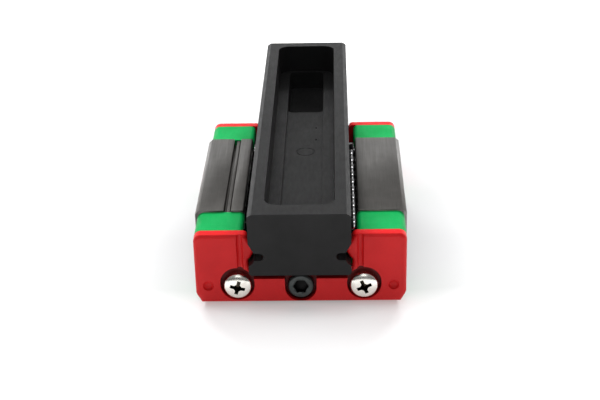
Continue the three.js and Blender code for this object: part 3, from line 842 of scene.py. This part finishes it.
def lube_plug(end):
    centre = (0, PLUG["z"])
    seat = SEAT_Y + FACE_GAP
    face = seat + PLUG["head_height"]
    head, tip, rim = PLUG["head"], plug_low.y, 0.22
    profile = shank_profile(PLUG, tip, seat)
    profile += [(head - 0.1, seat), (head, seat + 0.1), (head, face - rim), (head - rim, face),
                (0.3, face), (0, face)]
    plug = lathe("plug", profile, centre)
    socket = PLUG["socket"] / math.sqrt(3)              # to the corners of the hexagon
    hexagon = arc(centre[0], centre[1], socket, 0, 360, 6)[:-1]
    countersink = [(0, face - 0.2), (socket - 0.1, face - 0.12), (socket + 0.06, face + 0.02),
                   (socket + 0.5, face + 0.5), (0, face + 0.5)]
    carve(plug, [extrude("socket", [hexagon], face - 0.9, face + OVERCUT, along_y),
                 lathe("countersink", countersink, centre, 48)])
    soften(plug, 0.04, 2, 35)
    bake_modifiers(plug)
    return at_end(merge_shells("plug", plug, shank_thread(PLUG, centre, tip, seat)), end)


def retainer_wire(side):
    """Wire with a bend near each end, where it turns into the end caps."""
    radius, bend = WIRE["radius"], WIRE["bend"]
    x = wire_low.x + radius
    leg_y = wire_high.y - radius
    bent = arc(x + bend, leg_y - bend, bend, 180, 90, 8)
    path = [(wire_high.x, leg_y)] + bent[::-1]
    path += [(px, -py) for px, py in reversed(path)]
    curve = bpy.data.curves.new("wire", "CURVE")
    curve.dimensions = "3D"
    curve.bevel_depth = radius * MM
    curve.bevel_resolution = 5
    curve.use_fill_caps = True
    spline = curve.splines.new("POLY")
    spline.points.add(len(path) - 1)
    for point, (px, py) in zip(spline.points, path):
        point.co = (side * px * MM, py * MM, TRACK.y * MM, 1)
    holder = link_object("wire", curve)
    graph = bpy.context.evaluated_depsgraph_get()
    mesh = bpy.data.meshes.new_from_object(holder.evaluated_get(graph))
    bpy.data.objects.remove(holder)
    bpy.data.curves.remove(curve)
    obj = link_object("wire", mesh)
    smooth(obj, 50)
    return obj


# ---------------------------------------------------------------- dummy rail


def rail_outline():
    """The rail's section: a ball groove and a relief slot in each side, and a leaning flank."""
    half = rail_high.x
    chamfer, chamfer_height = 0.65, 0.42
    reach = track_angle(half, GROOVE_RADIUS)
    slot_x, slot_z = RELIEF["inner"] + RELIEF["half_height"], RELIEF["z"]
    notch = math.degrees(math.asin((TRACK.y - slot_z + RELIEF["half_height"]) / GROOVE_RADIUS))
    right = [(half - chamfer / 2, rail_low.z), (half, rail_low.z + chamfer / 2)]
    right += arc(TRACK.x, TRACK.y, GROOVE_RADIUS, 180 + reach, 180 + notch, 12)
    right += arc(slot_x, slot_z, RELIEF["half_height"], 270, 90, 16)
    right += [(RAIL_FLANK["inner"], slot_z + RELIEF["half_height"]), (half, RAIL_FLANK["top"])]
    right += [(half, rail_high.z - chamfer_height), (half - chamfer, rail_high.z)]
    return mirrored(right)


def rounded_box(half, y0, y1, radius, inset=0):
    """An outline centred on x = 0, with round corners. inset draws its sides in."""
    x, front, rear = half - inset - radius, y0 + inset + radius, y1 - inset - radius
    return (corner(x, front, radius, -90) + corner(x, rear, radius, 0)
            + corner(-x, rear, radius, 90) + corner(-x, front, radius, 180))


def pocket_tool(shape, floor, ceiling):
    """A hollow's cutter, with walls that lean in toward the floor as moulded walls do."""
    sides = (shape["half_width"], shape["front"], shape["rear"], shape["corner"])
    top = rounded_box(*sides)
    bottom = rounded_box(*sides, shape["draft"])
    return extrude("pocket", [bottom], floor, ceiling, along_z, taper=[top])


def ring_cutter(section, centre, steps=48):
    """A closed section, as (radius, z), swept round an upright axis."""
    bm = bmesh.new()
    rings = []
    for radius, z in section:
        circle = arc(centre[0], centre[1], radius, 0, 360, steps)[:-1]
        rings.append([bm.verts.new(Vector((x, y, z)) * MM) for x, y in circle])
    for ring0, ring1 in zip(rings, rings[1:] + rings[:1]):
        band(bm, ring0, ring1)
    return new_object("ring", bm)


def dummy_rail():
    body = extrude("rail", [rail_outline()], rail_low.y, rail_high.y, along_y)
    top = rail_high.z
    ledge, well, sump = (top - shape["depth"] for shape in (POCKET, WELL, SUMP))
    lap = 0.1                           # how far each cutter reaches into the hollow above it
    tools = [pocket_tool(POCKET, ledge, top + 2 * lap),
             pocket_tool(WELL, well, ledge + lap),
             pocket_tool(SUMP, sump, well + lap)]
    pit = [(0, well - 0.2), (0.12, well - 0.16), (0.22, well + 0.02), (0, well + lap)]
    for centre in MOULD_PITS:
        tools.append(lathe("pit", pit, centre, 20, along_z))
    radius = EJECTOR_MARK["radius"]
    ring = [(radius - 0.12, well + 0.02), (radius, well - 0.06), (radius + 0.12, well + 0.02)]
    tools.append(ring_cutter(ring, (EJECTOR_MARK["x"], EJECTOR_MARK["y"])))
    carve(body, tools)
    soften(body, 0.18, 3)
    return body


# ---------------------------------------------------------------- the object


def named(obj, name):
    obj.name = name
    obj.data.name = name
    return obj


def build_carriage():
    finish_piece(runner_block(), "carriage", "ground_steel", "runner_block")
    for end_name, end in ENDS:
        for part, make, slot in (("end_cap", end_cap, "green_plastic"),
                                 ("end_seal", end_seal, "red_plastic"),
                                 ("lube_plug", lube_plug, "black_oxide")):
            node = f"{part}_{end_name}"
            finish_piece(named(make(end), f"fine_{node}"), "carriage", slot, node)
        for side_name, side in SIDES:
            for part, make, slot in (("cap_screw", cap_screw, "nickel_plate"),
                                     ("return_guide", return_guide, "white_plastic")):
                node = f"{part}_{end_name}_{side_name}"
                finish_piece(named(make(side, end), f"fine_{node}"), "carriage", slot, node)


def build_track():
    for side_name, side in SIDES:
        node = f"retainer_wire_{side_name}"
        finish_piece(named(retainer_wire(side), f"fine_{node}"), "carriage", "spring_wire", node)
        for i in range(LOADED_BALLS):
            node = f"ball_{side_name}_{i + 1:02d}"
            ball = sphere(f"fine_{node}", ball_centre(side, i), BALL_RADIUS, 5)
            finish_piece(ball, "carriage", "bearing_steel", node)
        node = f"return_balls_{side_name}"
        balls = [sphere("loose", ball_centre(side, LOADED_BALLS + i), BALL_RADIUS, 4)
                 for i in range(RETURN_BALLS)]
        row = merge_shells(f"fine_{node}", *balls)
        finish_piece(row, "carriage", "bearing_steel", node)


build_carriage()
build_track()
finish_piece(named(dummy_rail(), "fine_dummy_rail"), "rail", "black_plastic", "dummy_rail")

# ---------------------------------------------------------------- floor, light and camera

CAMERA = {"place": (5.37, -187.87, 100.71), "pitch": 26.5, "yaw": 1.78, "roll": -1.38, "lens": 78.06}
FLOOR_Z = -0.01             # just below the carriage, so that the two faces don't coincide
FLOOR_HALF = 3              # metres
LIGHT_TARGET = (0, 0.01, 0.008)         # metres


def floor_distance(tree, centre, radii):
    """How far a place on the floor is from a centre, as a share of an ellipse's half axes."""
    scaled = object_position(tree, (1 / radii[0], 1 / radii[1], 0))
    middle = (centre[0] / radii[0], centre[1] / radii[1], 0)
    offset = add_node(tree, "ShaderNodeVectorMath", {0: scaled, 1: middle}, operation="SUBTRACT")
    length = add_node(tree, "ShaderNodeVectorMath", {0: offset.outputs[0]}, operation="LENGTH")
    return length.outputs["Value"]


def pale_floor():
    """A pale floor that glows with painted light, weakest near the object and growing away from it, so
    that it fades to white; the glow lightens the object's cast shadow in front and leaves painted soft
    shadows beside it.
    """
    bm = bmesh.new()
    bmesh.ops.create_grid(bm, x_segments=1, y_segments=1, size=FLOOR_HALF,
                          matrix=Matrix.Translation((0, 0, FLOOR_Z * MM)))
    floor = new_object("floor", bm)
    material, tree, shader = new_material("floor_look", **{"Roughness": 0.6, "Emission Strength": 1.0})
    shade = noise(tree, 0.004, detail=3)
    colour = ramp(tree, shade, [(0.3, (0.50, 0.50, 0.505)), (0.7, (0.54, 0.54, 0.545))])
    tree.links.new(colour, shader.inputs["Base Color"])
    distance = floor_distance(tree, (0, 25), (120, 60))
    # Painted light: the floor's emission, low beside the object and higher in front and far away.
    painted_floor_glow = ramp(tree, distance, [(0.45, 0.13), (0.71, 0.2), (0.83, 0.5), (1.0, 0.66)])
    tree.links.new(painted_floor_glow, shader.inputs["Emission Color"])
    floor.data.materials.append(material)


def soft_light(name, place, size, power, mirrored_in_gloss=True):
    """A rectangular light, placed and sized in metres, that faces the object."""
    light = bpy.data.lights.new(name, "AREA")
    light.shape = "RECTANGLE"
    light.size, light.size_y = size
    light.energy = power
    obj = link_object(name, light)
    obj.location = place
    aim = Vector(LIGHT_TARGET) - Vector(place)
    obj.rotation_euler = aim.to_track_quat("-Z", "Y").to_euler()
    obj.visible_glossy = mirrored_in_gloss


def studio():
    """A pale backdrop that is brightest low at the back and dark at the horizon in front, a wide
    key light low at the back, and weak softboxes round the object."""
    world = bpy.data.worlds.new("studio")
    bpy.context.scene.world = world
    world.use_nodes = True
    tree = world.node_tree
    direction = add_node(tree, "ShaderNodeTexCoord").outputs["Generated"]
    axes = add_node(tree, "ShaderNodeSeparateXYZ", {"Vector": direction}).outputs
    rear = ramp(tree, axes["Z"], [(0.0, 1.0), (0.2, 0.9), (0.42, 0.32), (1.0, 0.26)])
    front = ramp(tree, axes["Z"], [(0.0, 0.05), (0.16, 0.05), (0.28, 0.2), (1.0, 0.26)])
    blend = {"Value": axes["Y"], "From Min": -0.2, "From Max": 0.3}
    toward_rear = add_node(tree, "ShaderNodeMapRange", blend).outputs[0]
    backdrop = tree.nodes["Background"]
    tree.links.new(mix(tree, "MIX", toward_rear, front, rear), backdrop.inputs["Color"])
    backdrop.inputs["Strength"].default_value = 1.25
    soft_light("rear_key", (-0.05, 1.0, 0.47), (1.3, 0.09), 43.0, mirrored_in_gloss=False)
    soft_light("top_softbox", (0.0, 0.05, 0.95), (0.2, 0.2), 0.6)
    soft_light("left_softbox", (-0.75, 0.25, 0.85), (0.5, 0.5), 3.0)
    soft_light("right_softbox", (0.75, 0.15, 0.85), (0.5, 0.5), 2.6, mirrored_in_gloss=False)
    soft_light("front_strip", (0.0, -0.85, 0.68), (0.5, 0.6), 1.0)


def camera():
    data = bpy.data.cameras.new("camera")
    data.sensor_width = 36
    data.lens = CAMERA["lens"]
    data.clip_start, data.clip_end = 0.01, 20
    obj = link_object("camera", data)
    turn = (Matrix.Rotation(math.radians(CAMERA["yaw"]), 4, "Z")
            @ Matrix.Rotation(math.radians(90 - CAMERA["pitch"]), 4, "X")
            @ Matrix.Rotation(math.radians(CAMERA["roll"]), 4, "Z"))
    obj.matrix_world = Matrix.Translation(Vector(CAMERA["place"]) * MM) @ turn
    bpy.context.scene.camera = obj


pale_floor()
studio()
camera()
bpy.context.scene.view_settings.view_transform = "Standard"
